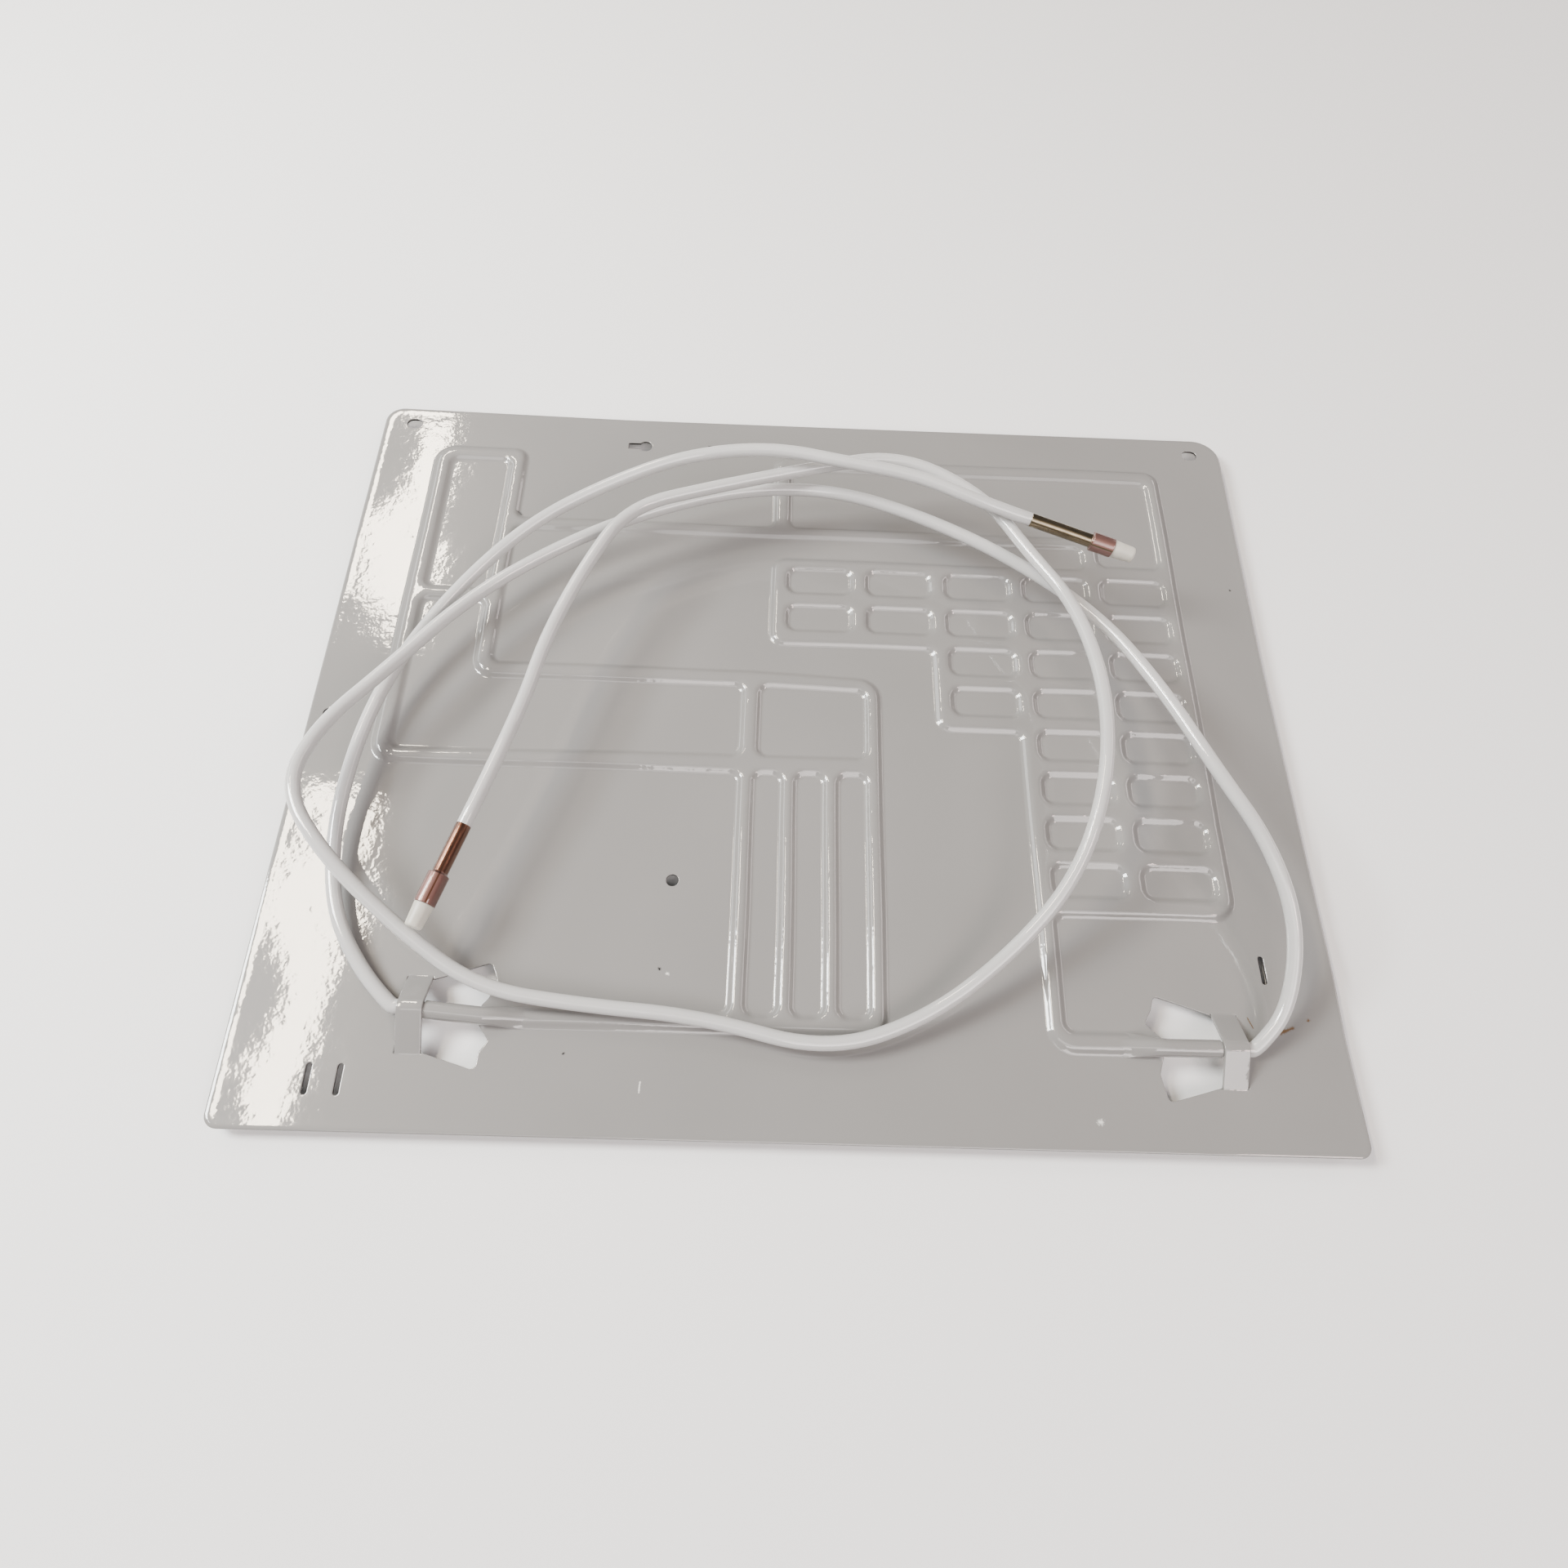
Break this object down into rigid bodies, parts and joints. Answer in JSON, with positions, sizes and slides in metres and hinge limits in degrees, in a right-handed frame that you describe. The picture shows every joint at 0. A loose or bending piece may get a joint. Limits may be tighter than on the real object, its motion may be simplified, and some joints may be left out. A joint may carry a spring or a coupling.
{
  "type": "roll bond evaporator",
  "caption": "Flat aluminium roll bond evaporator plate with raised refrigerant passages and two coiled feed tubes, each ending in a plugged copper socket.",
  "frame": {"origin": "centre of the plate's outline, on its flat back face", "axes": "+X along the plate's long side, +Y across it towards the keyholes, +Z out of the face with the raised passages"},
  "size_m": [0.4494, 0.3699, 0.0545],
  "materials": {
    "plate_paint": "gloss white-grey paint with a light orange peel",
    "tube_paint": "gloss white paint",
    "inlet_copper": "drawn metal, smooth stub and dull socket",
    "outlet_copper": "drawn copper, smooth stub and dull socket",
    "plug_plastic": "translucent natural plastic"
  },
  "bodies": {
    "root": {"evaporator_plate": "plate_paint", "inlet_tube": "tube_paint", "inlet_copper_end": "inlet_copper", "inlet_plug": "plug_plastic", "outlet_tube": "tube_paint", "outlet_copper_end": "outlet_copper", "outlet_plug": "plug_plastic"}
  },
  "joints": []
}
